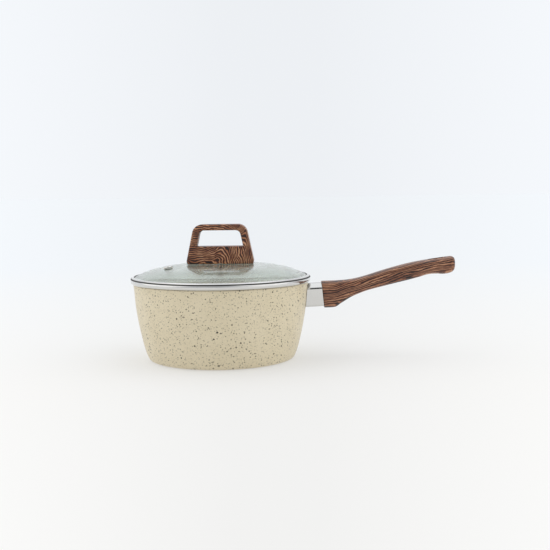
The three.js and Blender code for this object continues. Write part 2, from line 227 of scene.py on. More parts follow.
# cell and speck radius in millimetres, share of cells that hold a speck, colour, strength
SPECKS = [
    (1.1, 0.24, 0.50, "6b6350", 0.8),
    (1.7, 0.38, 0.50, "3f3a2d", 1.0),
    (2.6, 0.52, 0.50, "2a261d", 1.0),
    (4.4, 0.70, 0.45, "1d1a13", 1.0),
    (10.5, 0.90, 0.45, "15130e", 1.0),
]


def specks(tree, place, cell, radius, kept):
    """A mask of round specks, one in some of the cells, cut at random depths and so of mixed sizes."""
    cells = add_node(tree, "ShaderNodeTexVoronoi", {"Vector": place, "Scale": 1 / cell, "Randomness": 1.0})
    chance = add_node(tree, "ShaderNodeSeparateColor", {0: cells.outputs["Color"]})
    reach = remap(tree, chance.outputs[1], 0.0, 1.0, 0.75 * radius / cell, 1.25 * radius / cell)
    inside = arithmetic(tree, "SUBTRACT", reach, cells.outputs["Distance"])
    edge = remap(tree, inside, 0.0, 0.15 * radius / cell)
    chosen = arithmetic(tree, "LESS_THAN", chance.outputs[0], kept)
    return arithmetic(tree, "MULTIPLY", edge, chosen)


def stone_coating(colours):
    """PTFE stone-look coating, sprayed and baked in layers: a satin cream film, softly mottled, with dark
    flecks in five ranges of size and the fine orange peel that spraying leaves."""
    material, tree, shader = new_material("sprayed_stone_look_ptfe", Roughness=0.42, IOR=1.45)
    place = object_millimetres(tree)
    ragged = add_node(
        tree, "ShaderNodeTexNoise", {"Vector": place, "Scale": 1 / 0.9, "Detail": 1.0}
    ).outputs["Color"]
    jitter = add_node(
        tree, "ShaderNodeVectorMath", {0: ragged, 1: (0.9, 0.9, 0.9), 2: place}, operation="MULTIPLY_ADD"
    ).outputs["Vector"]
    cream = blend_colours(
        tree, noise(tree, place, 26.0, 3.0), tuple(colours.coating), tuple(colours.coating_shade)
    )
    grain = remap(tree, noise(tree, place, 1.1, 3.0), 0.3, 0.7, 0.0, 1.0)
    colour = blend_colours(tree, grain, cream, blend_colours(tree, 0.12, cream, linear("6b6048")))
    for cell, radius, kept, fleck, strength in SPECKS:
        mask = arithmetic(tree, "MULTIPLY", specks(tree, jitter, cell, radius, kept), strength)
        colour = blend_colours(tree, mask, colour, linear(fleck))
    tree.links.new(colour, shader.inputs["Base Color"])
    peel = noise(tree, place, 1.6, 2.0)
    roughness = remap(tree, noise(tree, place, 3.0, 2.0), 0.3, 0.7, 0.36, 0.48)
    tree.links.new(roughness, shader.inputs["Roughness"])
    bump(tree, shader, peel, 0.06, 0.35)
    return material


def brushed_metal(name, colour, roughness, lay, streak=0.5):
    """Metal with fine lines left by polishing or turning along the direction whose stretch is largest."""
    material, tree, shader = new_material(name, Metallic=1.0, Roughness=roughness)
    place = object_millimetres(tree)
    along = add_node(
        tree, "ShaderNodeVectorMath", {0: place, 1: lay}, operation="MULTIPLY"
    ).outputs["Vector"]
    lines = noise(tree, along, streak, 3.0)
    smears = noise(tree, place, 14.0, 2.0)
    bloom = blend_colours(tree, 0.12, linear(colour), linear("8f9294"))
    tint = blend_colours(tree, smears, linear(colour), bloom)
    tree.links.new(tint, shader.inputs["Base Color"])
    uneven = remap(tree, lines, 0.3, 0.7, max(roughness - 0.05, 0.02), roughness + 0.07)
    tree.links.new(uneven, shader.inputs["Roughness"])
    bump(tree, shader, lines, 0.004, 0.3)
    return material


def polished_stainless():
    """18/10 stainless steel, pressed and buffed: a bright, slightly cool mirror with faint buffing lines."""
    return brushed_metal("buffed_stainless_steel", "d8d7d4", 0.1, (0.08, 0.08, 1.0), 0.5)


def turned_stainless():
    """430 magnetic stainless steel, spun flat: rings of fine tool marks that blur what it reflects."""
    material, tree, shader = new_material("spun_magnetic_steel", Metallic=1.0, Roughness=0.28)
    place = object_millimetres(tree)
    flat = add_node(tree, "ShaderNodeVectorMath", {0: place, 1: (1.0, 1.0, 0.0)}, operation="MULTIPLY")
    radius = add_node(tree, "ShaderNodeVectorMath", {0: flat.outputs["Vector"]}, operation="LENGTH")
    rings = add_node(
        tree,
        "ShaderNodeTexNoise",
        {"W": radius.outputs["Value"], "Scale": 1 / 0.45, "Detail": 3.0},
        noise_dimensions="1D",
    ).outputs["Fac"]
    tint = colour_ramp(tree, rings, [(0.3, "a9abac"), (0.7, "c6c8c9")])
    tree.links.new(tint, shader.inputs["Base Color"])
    tree.links.new(remap(tree, rings, 0.3, 0.7, 0.22, 0.38), shader.inputs["Roughness"])
    bump(tree, shader, rings, 0.01, 0.5)
    return material


def zinc_plated_steel():
    """Zinc-plated carbon steel, barrel plated: a bluish grey satin with a faint blotchy bloom."""
    return brushed_metal("zinc_plated_steel", "b9bcc0", 0.3, (1.0, 1.0, 1.0), 0.8)


def pickled_steel():
    """Stamped stainless sheet as it leaves the press: plain grey and slightly matt."""
    return brushed_metal("stamped_stainless_sheet", "a8a9aa", 0.38, (0.1, 1.0, 1.0), 0.6)


def rivet_aluminium():
    """Soft aluminium, cold headed: pale satin metal with a dimpled skin."""
    return brushed_metal("headed_aluminium", "c9cac9", 0.34, (1.0, 1.0, 1.0), 0.7)


def turned_brass():
    """CZ121 brass, turned on an automatic lathe: yellow metal with close tool marks across its length."""
    return brushed_metal("turned_brass", "c8a35a", 0.24, (0.1, 0.1, 1.0), 0.3)


def silicone():
    """Food-grade silicone, moulded: milky, matt and slightly see-through at its edges."""
    material, tree, shader = new_material("moulded_silicone", Roughness=0.55, IOR=1.41)
    place = object_millimetres(tree)
    milk = blend_colours(tree, noise(tree, place, 2.0, 2.0), linear("d9d8d2"), linear("c8c6bd"))
    tree.links.new(milk, shader.inputs["Base Color"])
    shader.inputs["Subsurface Weight"].default_value = 0.15
    shader.inputs["Subsurface Scale"].default_value = 0.6 * MM
    bump(tree, shader, noise(tree, place, 0.5, 2.0), 0.01, 0.4)
    return material


def seam_compound():
    """Painted shade: dull black, slightly mottled and bumped, for the bead that stands in for the dark line of
    shade along the band's rolled edge.
    """
    material, tree, shader = new_material("painted_shade_line_black", Roughness=0.6, IOR=1.45)
    smear = noise(tree, object_millimetres(tree), 3.0, 2.0)
    black = blend_colours(tree, smear, linear("1c1b19"), linear("33312d"))
    tree.links.new(black, shader.inputs["Base Color"])
    bump(tree, shader, smear, 0.05, 0.4)
    return material


def tempered_glass(colours):
    """Tempered soda-lime glass, pressed and quenched: clear, with a faint green cast and a soft gloss on top.
    Lamps, and the share of sight lines that the clearness setting gives, pass straight through it."""
    material, tree, shader = new_material(
        "tempered_soda_lime_glass", Base_Color=tuple(colours.glass), Roughness=0.0, IOR=1.5
    )
    shader.inputs["Transmission Weight"].default_value = 1.0
    shader.inputs["Coat Weight"].default_value = 0.5
    shader.inputs["Coat Roughness"].default_value = 0.25
    clear = add_node(tree, "ShaderNodeBsdfTransparent", {"Color": tuple(colours.glass)})
    path = add_node(tree, "ShaderNodeLightPath")
    passing = arithmetic(tree, "MAXIMUM", path.outputs["Is Shadow Ray"], colours.clearness)
    both = add_node(
        tree, "ShaderNodeMixShader", {0: passing, 1: shader.outputs[0], 2: clear.outputs[0]}
    )
    output = next(n for n in tree.nodes if n.type == "OUTPUT_MATERIAL")
    tree.links.new(both.outputs[0], output.inputs["Surface"])
    return material


KNOB_STOPS = [
    (0.20, "170b08"), (0.39, "301810"), (0.53, "5f301d"), (0.65, "773e25"), (0.78, "a66c48"),
    (0.93, "c99a74"),
]  # fmt: skip
GRIP_STOPS = [
    (0.19, "180d09"), (0.38, "331b13"), (0.53, "5b3422"), (0.66, "71422c"), (0.80, "946247"),
    (0.93, "b48665"),
]  # fmt: skip


def wood_print(name, lines_of, stops):
    """Phenolic resin, compression moulded, with a wood grain transferred on in ink and a satin clear coat:
    sharp dark and tan lines under an even, soft gloss. lines_of counts the grain's lines at each place."""
    material, tree, shader = new_material(name, Roughness=0.42, IOR=1.45)
    place = object_millimetres(tree)
    rings, stretched = lines_of(tree, place)
    turn = arithmetic(tree, "MULTIPLY", rings, 2 * math.pi)
    line = remap(tree, arithmetic(tree, "SINE", turn), -1.0, 1.0, 0.0, 1.0)
    uneven = add_node(
        tree, "ShaderNodeTexNoise", {"W": rings, "Scale": 0.45, "Detail": 2.0}, noise_dimensions="1D"
    ).outputs["Fac"]
    patches = noise(tree, stretched, 7.0, 3.0)
    fibres = noise(tree, stretched, 1.0, 2.0)
    tone = arithmetic(tree, "MULTIPLY", line, 0.6)
    balance = 0.33  # taken off each part; more of it darkens the print
    for part, weight in ((uneven, 0.6), (patches, 0.75), (fibres, 0.3)):
        centred = arithmetic(tree, "SUBTRACT", part, balance)
        tone = arithmetic(tree, "MULTIPLY_ADD", centred, weight, tone)
    tree.links.new(colour_ramp(tree, tone, stops), shader.inputs["Base Color"])
    roughness = remap(tree, noise(tree, place, 4.0, 2.0), 0.3, 0.7, 0.36, 0.48)
    tree.links.new(roughness, shader.inputs["Roughness"])
    shader.inputs["Coat Weight"].default_value = 0.08
    shader.inputs["Coat Roughness"].default_value = 0.2
    bump(tree, shader, tone, 0.02, 0.3)
    return material


def warped(tree, value, place, *waves):
    """Adds noise of each (size, reach), both in millimetres, to a value."""
    for size, reach in waves:
        value = arithmetic(tree, "MULTIPLY_ADD", noise(tree, place, size, 1.0), reach, value)
    return value


def knob_grain(tree, place):
    """Level lines on the knob's left that bend down past its middle, and upright lines on its right."""
    pitch, lean, bend = 1.85, 0.2, -9.0
    offset = add_node(
        tree, "ShaderNodeVectorMath", {0: place, 1: (bend, 0.0, KNOB_LOW.z - 2.0)}, operation="SUBTRACT"
    ).outputs[0]
    parts = add_node(tree, "ShaderNodeSeparateXYZ", {0: offset}).outputs
    past = arithmetic(tree, "MAXIMUM", parts["X"], 0.0)
    depth = arithmetic(tree, "MULTIPLY", parts["Y"], 0.4)
    shaped = add_node(
        tree, "ShaderNodeCombineXYZ", {"X": past, "Y": depth, "Z": parts["Z"]}
    ).outputs[0]
    arches = add_node(tree, "ShaderNodeVectorMath", {0: shaped}, operation="LENGTH").outputs["Value"]
    upright = arithmetic(tree, "MULTIPLY_ADD", parts["Z"], lean, parts["X"])
    upright = arithmetic(tree, "MULTIPLY_ADD", parts["Y"], 0.4, upright)
    right = remap(tree, parts["X"], 3.0, 18.0)
    low_down = remap(tree, parts["Z"], 20.0, 30.0, 1.0, 0.0)
    far_right = remap(tree, parts["X"], 26.0, 36.0)
    share = arithmetic(tree, "MULTIPLY", right, arithmetic(tree, "MAXIMUM", low_down, far_right))
    apart = arithmetic(tree, "SUBTRACT", upright, arches)
    spread = arithmetic(tree, "MULTIPLY_ADD", apart, share, arches)
    spread = warped(tree, spread, place, (14.0, 8.0), (5.0, 1.7), (1.8, 0.4))
    return arithmetic(tree, "DIVIDE", spread, pitch), offset


def grip_grain(tree, place):
    """Long lines that follow the bend of the grip and climb slowly across it."""
    pitch, climb = 2.0, -0.035
    along = add_node(tree, "ShaderNodeAttribute", attribute_name="grain").outputs["Vector"]
    parts = add_node(tree, "ShaderNodeSeparateXYZ", {0: along}).outputs
    stretched = add_node(
        tree, "ShaderNodeVectorMath", {0: along, 1: (0.12, 0.9, 0.9)}, operation="MULTIPLY"
    ).outputs[0]
    level = arithmetic(tree, "MULTIPLY_ADD", parts["Y"], 0.5, parts["Z"])
    level = arithmetic(tree, "MULTIPLY_ADD", parts["X"], climb, level)
    level = warped(tree, level, stretched, (5.0, 7.0), (1.6, 1.6))
    level = warped(tree, level, along, (2.2, 0.8))
    return arithmetic(tree, "DIVIDE", level, pitch), stretched


# ---------------------------------------------------------------- mesh helpers, in millimetres


def smooth_line(points, steps):
    """Even steps along a Catmull-Rom curve through the points."""
    fine = []
    between = 40  # points on the curve from one given point to the next
    last = len(points) - 1
    for i in range(last):
        before, start = Vector(points[max(i - 1, 0)]), Vector(points[i])
        end, after = Vector(points[i + 1]), Vector(points[min(i + 2, last)])
        for k in range(between):
            t = k / between
            leave, arrive = (end - before) / 2, (after - start) / 2
            fine.append(
                start
                + leave * t
                + (3 * (end - start) - 2 * leave - arrive) * t**2
                + (2 * (start - end) + leave + arrive) * t**3
            )
    fine.append(Vector(points[-1]))
    lengths = [0.0]
    for a, b in zip(fine, fine[1:]):
        lengths.append(lengths[-1] + (b - a).length)
    result, segment = [], 0
    for step in range(steps + 1):
        target = lengths[-1] * step / steps
        while segment < len(fine) - 2 and lengths[segment + 1] < target:
            segment += 1
        span = lengths[segment + 1] - lengths[segment]
        share = 0 if span == 0 else (target - lengths[segment]) / span
        result.append(tuple(fine[segment].lerp(fine[segment + 1], min(share, 1.0))))
    return result


def value_at(line, x):
    """Height of a line of (x, height) points at x."""
    for (x0, y0), (x1, y1) in zip(line, line[1:]):
        if x <= x1:
            return y0 + (y1 - y0) * max(x - x0, 0) / (x1 - x0)
    return line[-1][1]


def soften(points, reach, closed=False, steps=4):
    """Rounds the corners of an outline, starting reach millimetres before each, or less where it's short."""
    count = len(points)
    result = []
    for i, corner in enumerate(points):
        if not closed and i in (0, count - 1):
            result.append(tuple(corner))
            continue
        here = Vector(corner)
        before, after = Vector(points[i - 1]), Vector(points[(i + 1) % count])
        start = here + (before - here).normalized() * min(reach, (before - here).length * 0.45)
        end = here + (after - here).normalized() * min(reach, (after - here).length * 0.45)
        for k in range(steps + 1):
            t = k / steps
            result.append(tuple(start * (1 - t) ** 2 + here * 2 * t * (1 - t) + end * t**2))
    return result


def new_piece(name, vertices, faces, sharp=35.0):
    """A mesh object from points in millimetres, shaded smooth except across edges sharper than an angle."""
    mesh = bpy.data.meshes.new(name)
    mesh.from_pydata([tuple(c * MM for c in v) for v in vertices], [], faces)
    mesh.update()
    shade(mesh, sharp)
    piece = bpy.data.objects.new(name, mesh)
    bpy.context.scene.collection.objects.link(piece)
    return piece


def shade(mesh, sharp):
    mesh.polygons.foreach_set("use_smooth", [True] * len(mesh.polygons))
    mesh.set_sharp_from_angle(angle=math.radians(sharp))


def turned(name, profile, closed=False, rounds=SMALL_ROUND, place=None, sharp=35.0):
    """A solid of revolution about Z. The profile of (radius, height) points runs anticlockwise; an open one
    starts and ends on the axis. place then moves it."""
    vertices, columns, faces = [], [], []
    for radius, height in profile:
        start = len(vertices)
        if radius < 1e-6:
            vertices.append((0, 0, height))
            columns.append([start] * rounds)
            continue
        for i in range(rounds):
            turn = 2 * math.pi * i / rounds
            vertices.append((radius * math.cos(turn), radius * math.sin(turn), height))
        columns.append(list(range(start, start + rounds)))
    pairs = list(zip(columns, columns[1:]))
    if closed:
        pairs.append((columns[-1], columns[0]))
    for lower, upper in pairs:
        for i in range(rounds):
            j = (i + 1) % rounds
            corners = list(dict.fromkeys((lower[i], lower[j], upper[j], upper[i])))
            if len(corners) > 2:
                faces.append(corners)
    if place is not None:
        vertices = [tuple(place @ Vector(v)) for v in vertices]
    return new_piece(name, vertices, faces, sharp)


def ring_profile(inner, outer, low, high, soft=0.25):
    return soften([(inner, low), (outer, low), (outer, high), (inner, high)], soft, closed=True, steps=3)


def lofted(name, rings, sharp=35.0):
    """A skin over rings of points that all have the same count, with flat ends."""
    count = len(rings[0])
    vertices = [p for ring in rings for p in ring]
    faces = []
    for i in range(len(rings) - 1):
        for j in range(count):
            k = (j + 1) % count
            faces.append((i * count + j, i * count + k, (i + 1) * count + k, (i + 1) * count + j))
    faces.append(tuple(reversed(range(count))))
    faces.append(tuple(range(len(vertices) - count, len(vertices))))
    return new_piece(name, vertices, faces, sharp)


def block(name, low, high):
    """A cutter with square corners."""
    xs, ys, zs = zip(low, high)
    vertices = [(x, y, z) for z in zs for y in ys for x in xs]
    faces = [(0, 2, 3, 1), (4, 5, 7, 6), (0, 1, 5, 4), (2, 6, 7, 3), (0, 4, 6, 2), (1, 3, 7, 5)]
    return new_piece(name, vertices, faces)


def apply_modifiers(piece, sharp=35.0):
    graph = bpy.context.evaluated_depsgraph_get()
    mesh = bpy.data.meshes.new_from_object(piece.evaluated_get(graph))
    piece.modifiers.clear()
    old = piece.data
    piece.data = mesh
    bpy.data.meshes.remove(old)
    shade(mesh, sharp)
    return piece


def carve(piece, cutters, edge=0.0, sharp=35.0):
    """Cuts shapes out of a piece, then rounds the sharp edges by edge millimetres."""
    for cutter in cutters:
        cutting = piece.modifiers.new("cut", "BOOLEAN")
        cutting.operation = "DIFFERENCE"
        cutting.solver = "EXACT"
        cutting.object = cutter
    if edge:
        rounding = piece.modifiers.new("round", "BEVEL")
        rounding.width = edge * MM
        rounding.segments = 3
        rounding.limit_method = "ANGLE"
        rounding.angle_limit = math.radians(50)
        rounding.use_clamp_overlap = True
    apply_modifiers(piece, sharp)
    for cutter in cutters:
        mesh = cutter.data
        bpy.data.objects.remove(cutter)
        bpy.data.meshes.remove(mesh)
    return piece


def cross_recess(name, centre, width=4.6, blade=0.9, depth=1.2):
    """Two crossed blades that cut a cross recess upwards from centre."""
    x, y, z = centre
    half, thin = width / 2, blade / 2
    return [
        block(name + "_a", (x - half, y - thin, z - 1), (x + half, y + thin, z + depth)),
        block(name + "_b", (x - thin, y - half, z - 1), (x + thin, y + half, z + depth)),
    ]


def dress(piece, body, slot, material, *nodes):
    """Gives a piece its material, the body it rides on and the CAD nodes it stands for; slot is not used."""
    piece.data.materials.clear()
    piece.data.materials.append(material)
    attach(piece, body)
    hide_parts(*nodes)
    return piece


def shared(name, make):
    """A material that several pieces use, made once."""
    return bpy.data.materials.get(name) or make()


# ---------------------------------------------------------------- settings


def colour_setting(name, description, hex_colour):
    return bpy.props.FloatVectorProperty(
        name=name,
        description=description,
        subtype="COLOR",
        size=4,
        min=0,
        max=1,
        default=linear(hex_colour),
    )


def length_setting(name, description, millimetres):
    return bpy.props.FloatProperty(
        name=name, description=description, subtype="DISTANCE", unit="LENGTH", default=millimetres * MM
    )


class PanSettings(bpy.types.PropertyGroup):
    coating: colour_setting("Coating", "Cream of the stone-look coating", "e5d9bd")
    coating_shade: colour_setting("Coating shade", "Darker mottling of the coating", "d6c9aa")
    wall: length_setting("Wall", "Thickness of the pan's wall", WALL)
    rim_edge: length_setting("Rim edge", "Reach of the rounding on the rim", 0.9)


class LidSettings(bpy.types.PropertyGroup):
    glass: colour_setting("Glass", "Cast of the tempered glass", "f3f9f5")
    clearness: bpy.props.FloatProperty(
        name="Clearness",
        description="Share of sight lines that pass unbent",
        subtype="FACTOR",
        min=0,
        max=1,
        default=0.25,
    )
    glass_thickness: length_setting("Glass thickness", "Thickness of the dome", 4.0)
    knob_edge: length_setting("Knob edge", "Rounding of the knob's long edges", 1.5)


class HandleSettings(bpy.types.PropertyGroup):
    ferrule_wall: length_setting("Ferrule wall", "Thickness of the ferrule's sheet", 1.6)
    hole_edge: length_setting("Hole edge", "Rounding of the edges of the hanging hole", 0.9)


class StageSettings(bpy.types.PropertyGroup):
    floor: colour_setting("Floor", "Colour of the floor", "afaeac")
    lens: bpy.props.FloatProperty(
        name="Lens", description="Focal length on a 36 mm sensor", subtype="DISTANCE_CAMERA", default=58.9
    )


# ---------------------------------------------------------------- operators


class Maker:
    """What the operators share."""

    bl_options = {"REGISTER", "UNDO"}

    def execute(self, context):
        self.make(context.scene)
        return {"FINISHED"}


def aside(tree, share):
    """How much brighter the floor and the room get, for a share of 0 straight ahead and 1 fully aside."""
    return remap(tree, arithmetic(tree, "ABSOLUTE", share), 0.05, 0.3, 0.0, 0.07)


def towards(tree, direction, aim):
    """1 where a direction points at aim, less the further it turns away."""
    return add_node(
        tree, "ShaderNodeVectorMath", {0: direction, 1: aim}, operation="DOT_PRODUCT"
    ).outputs["Value"]


class SAUCEPAN_OT_stage(Maker, bpy.types.Operator):
    """Sets the camera, the white floor and the soft lights"""

    bl_idname = "saucepan.stage"
    bl_label = "Stage"

    def make(self, scene):
        settings = scene.saucepan_stage
        self.camera(scene, settings.lens)
        self.floor(scene, settings.floor)
        self.surroundings(scene)
        for name, place, strength, spread, colour in (
            ("key_left", (-1.4, -0.15, 1.0), 0.64, 80.0, "fffaf2"),
            ("fill_right", (1.4, -0.7, 1.15), 0.68, 80.0, "fffcf6"),
        ):
            self.lamp(scene, name, Vector(place), strength, spread, colour)
        scene.view_settings.view_transform = "Standard"
        scene.view_settings.look = "None"

    def camera(self, scene, lens):
        place = Vector(CAMERA_PLACE)
        pitch, roll = 0.0896, -0.012  # radians: downwards, and clockwise
        forward = Vector((0, math.cos(pitch), -math.sin(pitch)))
        level_right = Vector((1, 0, 0))
        level_up = level_right.cross(forward)
        right = level_right * math.cos(roll) + level_up * math.sin(roll)
        up = level_up * math.cos(roll) - level_right * math.sin(roll)
        data = bpy.data.cameras.new("camera")
        data.lens = lens
        data.sensor_width = 36
        camera = bpy.data.objects.new("camera", data)
        turn = Matrix((right, up, -forward)).transposed().to_4x4()
        camera.matrix_world = Matrix.Translation(place) @ turn
        scene.collection.objects.link(camera)
        scene.camera = camera

    def floor(self, scene, colour):
        """A wide white table, lit from below so that shadows stay faint. Its glow changes with the distance
        and the side from the main camera's place, to meet the room's colour in that view."""
        reach, drop = 60.0, -0.0001
        mesh = bpy.data.meshes.new("floor")
        corners = [(x * reach, y * reach, drop) for x, y in ((-1, -1), (1, -1), (1, 1), (-1, 1))]
        mesh.from_pydata(corners, [], [(0, 1, 2, 3)])
        material, tree, shader = new_material("lit_white_acrylic", Roughness=0.9, Base_Color=tuple(colour))
        shader.inputs["Specular IOR Level"].default_value = 0.0
        place = add_node(tree, "ShaderNodeTexCoord").outputs["Object"]
        spot = (*CAMERA_PLACE[:2], 0)
        seen = add_node(tree, "ShaderNodeVectorMath", {0: place, 1: spot}, operation="SUBTRACT")
        length = add_node(tree, "ShaderNodeVectorMath", {0: seen.outputs[0]}, operation="LENGTH")
        away = length.outputs["Value"]
        sideways = add_node(tree, "ShaderNodeSeparateXYZ", {0: seen.outputs[0]}).outputs["X"]
        extra = aside(tree, arithmetic(tree, "DIVIDE", sideways, away))
        tree.links.new(arithmetic(tree, "ADD", extra, 0.45), shader.inputs["Emission Strength"])
        glow = blend_colours(tree, remap(tree, away, 0.8, 2.2), linear("f8f8f7"), linear("eef6ff"))
        tree.links.new(glow, shader.inputs["Emission Color"])
        mesh.materials.append(material)
        floor = bpy.data.objects.new("floor", mesh)
        scene.collection.objects.link(floor)

    def surroundings(self, scene):
        """A white room, dimmer behind the camera, with a bright panel overhead and a dark gap before it."""
        world = bpy.data.worlds.new("room")
        world.use_nodes = True
        tree = world.node_tree
        tree.nodes.clear()
        direction = add_node(tree, "ShaderNodeTexCoord").outputs["Generated"]
        parts = add_node(tree, "ShaderNodeSeparateXYZ", {0: direction})
        back = remap(tree, parts.outputs["Y"], -0.9, 0.0, 0.56, 0.905)
        room = arithmetic(tree, "ADD", back, aside(tree, parts.outputs["X"]))
        panel_aim, gap_aim = (0.0, 0.35, 0.937), (0.0, -0.47, 0.883)
        panel = remap(tree, towards(tree, direction, panel_aim), 0.82, 0.9, 0.0, 0.32)
        gap = remap(tree, towards(tree, direction, gap_aim), 0.94, 0.965, 1.0, 0.08)
        strength = arithmetic(tree, "MULTIPLY", arithmetic(tree, "ADD", room, panel), gap)
        sky = add_node(tree, "ShaderNodeBackground", {"Color": linear("f8fbff"), "Strength": strength})
        add_node(tree, "ShaderNodeOutputWorld", {"Surface": sky.outputs[0]})
        scene.world = world

    def lamp(self, scene, name, place, strength, spread, colour):
        """A far, broad lamp that shines from place towards the pan."""
        data = bpy.data.lights.new(name, "SUN")
        data.energy = strength
        data.angle = math.radians(spread)
        data.color = linear(colour)[:3]
        lamp = bpy.data.objects.new(name, data)
        lamp.location = place
        lamp.rotation_euler = (-place).to_track_quat("-Z", "Y").to_euler()
        scene.collection.objects.link(lamp)


class SAUCEPAN_OT_pan_body(Maker, bpy.types.Operator):
    """Spins the coated pan, with its rounded heel and rim"""

    bl_idname = "saucepan.pan_body"
    bl_label = "Coated pan"

    def make(self, scene):
        settings = scene.saucepan_pan
        wall = settings.wall / MM
        plate_high = low_high("induction_base_plate")[1]
        recess = plate_high.x + PLATE_GAP
        line = smooth_line(WALL_LINE, WALL_STEPS)
        rim = line[-1]
        inner = [(r - wall, z) for r, z in line if BASE_FLOOR + 5 <= z <= PAN_HIGH.z - 2]
        foot = inner[0][0]
        heel = soften([inner[0], (foot - 3.2, BASE_FLOOR), (foot - 12, BASE_FLOOR)], 6, steps=10)
        rim_top = soften(
            [(rim[0], rim[1] - 1.5), (rim[0], rim[1]), (rim[0] - wall + 0.1, rim[1]), inner[-1]],
            settings.rim_edge / MM,
        )
        ceiling = plate_high.z + PLATE_GAP
        profile = [(0, ceiling), (recess, ceiling), (recess, PAN_LOW.z), *line[:-2], *rim_top]
        profile += [*reversed(inner[:-1]), *heel[1:], (0, BASE_FLOOR)]
        piece = turned("coated_pan", profile, rounds=ROUND, sharp=50)
        dress(piece, "pan", "stone_coating", stone_coating(settings), "pan_body")


class SAUCEPAN_OT_base_plate(Maker, bpy.types.Operator):
    """Spins the grooved steel plate in the base"""

    bl_idname = "saucepan.base_plate"
    bl_label = "Base plate"

    def make(self, scene):
        low, high = low_high("induction_base_plate")
        radius, groove = high.x, 0.3
        grooves, spacings = 8, 9.5  # the radius is this many groove spacings long
        under = [(0, low.z)]
        for step in range(1, grooves + 1):
            middle = radius * step / spacings
            under += [(middle - 1, low.z), (middle - 0.5, low.z + groove), (middle + 0.5, low.z + groove),
                      (middle + 1, low.z)]  # fmt: skip
        profile = [*under, (radius, low.z), (radius, high.z), (0, high.z)]
        piece = turned("base_plate", soften(profile, 0.4, steps=2), rounds=160)
        dress(piece, "pan", "base_steel", turned_stainless(), "induction_base_plate")


def square_on_wall(height):
    """Turns an axis along Z so that it points out of the wall at a height, on the handle's side."""
    radius = value_at([(z, r) for r, z in smooth_line(WALL_LINE, WALL_STEPS)], height)
    lean = Quaternion((0, 1, 0), math.pi / 2 + WALL_SLOPE)
    return Matrix.Translation((radius, 0, height)) @ lean.to_matrix().to_4x4()


class SAUCEPAN_OT_bracket(Maker, bpy.types.Operator):
    """Finishes the handle's bracket and heads the rivets that hold it to the wall"""

    bl_idname = "saucepan.bracket"
    bl_label = "Bracket and rivets"

    def make(self, scene):
        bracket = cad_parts["handle_bracket"]
        bracket.data.materials.clear()
        bracket.data.materials.append(pickled_steel())
        inside = -WALL - 0.4
        outside = FLANGE + 0.65
        head, rise = 4.5, 1.6
        dome = [(head * math.cos(a), inside - rise * math.sin(a)) for a in (math.pi / 16 * k for k in range(8))]
        profile = [(0, inside - rise), *reversed(dome), (RIVET_RADIUS, inside), (RIVET_RADIUS, outside)]
        tail = [(3.3, outside), (3.15, outside + 1.1), (1.8, outside + 1.6), (0, outside + 1.7)]
        profile += soften(tail, 0.4)
        metal = rivet_aluminium()
        for name, height in RIVET_HEIGHTS.items():
            piece = turned(f"rivet_{name}", profile, place=square_on_wall(height))
            dress(piece, "pan", "rivet_aluminium", metal, f"bracket_rivet_{name}")


class SAUCEPAN_OT_ferrule(Maker, bpy.types.Operator):
    """Folds the steel ferrule between the wall and the grip"""

    bl_idname = "saucepan.ferrule"
    bl_label = "Ferrule"

    def make(self, scene):
        high = low_high("handle_ferrule")[1]
        sheet = scene.saucepan_handle.ferrule_wall / MM
        line = [(z, r + PLATE_GAP) for r, z in smooth_line(WALL_LINE, WALL_STEPS)]
        outer, inner = [self.tube(inset, high, line) for inset in (0.0, sheet)]
        count = len(outer[0])
        rings = outer + inner[::-1]
        vertices = [p for ring in rings for p in ring]
        faces = []
        for i in range(len(rings)):
            after = (i + 1) % len(rings)
            for j in range(count):
                k = (j + 1) % count
                faces.append((i * count + j, i * count + k, after * count + k, after * count + j))
        piece = new_piece("ferrule", vertices, faces)
        carve(piece, [], edge=0.25, sharp=14)
        steel = shared("buffed_stainless_steel", polished_stainless)
        dress(piece, "pan", "polished_steel", steel, "handle_ferrule")

    def tube(self, inset, high, line):
        """Rings of one side of the sheet, from the pan's wall to the grip."""
        half, side, rise, floor = high.y - inset, 18.2, 5.9 - inset, inset
        radius = (half**2 + rise**2) / (2 * rise)
        spread = math.asin(half / radius)
        corner, bottom, end = 2.4, 52.8, GRIP_START - PLATE_GAP
        start, lift, steps = 86, 0.9, 28  # the tube climbs by lift from start to end
        outline = soften([(-half, side), (-half, floor), (half, floor), (half, side)], corner, steps=6)
        for i in range(1, steps):
            angle = spread - 2 * spread * i / steps
            outline.append((radius * math.sin(angle), side + rise - radius + radius * math.cos(angle)))
        rings = []
        for share in (0.0, 0.04, 0.5, 0.97, 1.0):
            ring = []
            for y, z in outline:
                wall = math.sqrt(value_at(line, bottom + z) ** 2 - y**2)
                far = end + SLANT * (SLANT_HEIGHT - bottom - z)
                x = wall + (far - wall) * share
                ring.append((x, y, bottom + lift * (x - start) / (end - start) + z))
            rings.append(ring)
        return rings


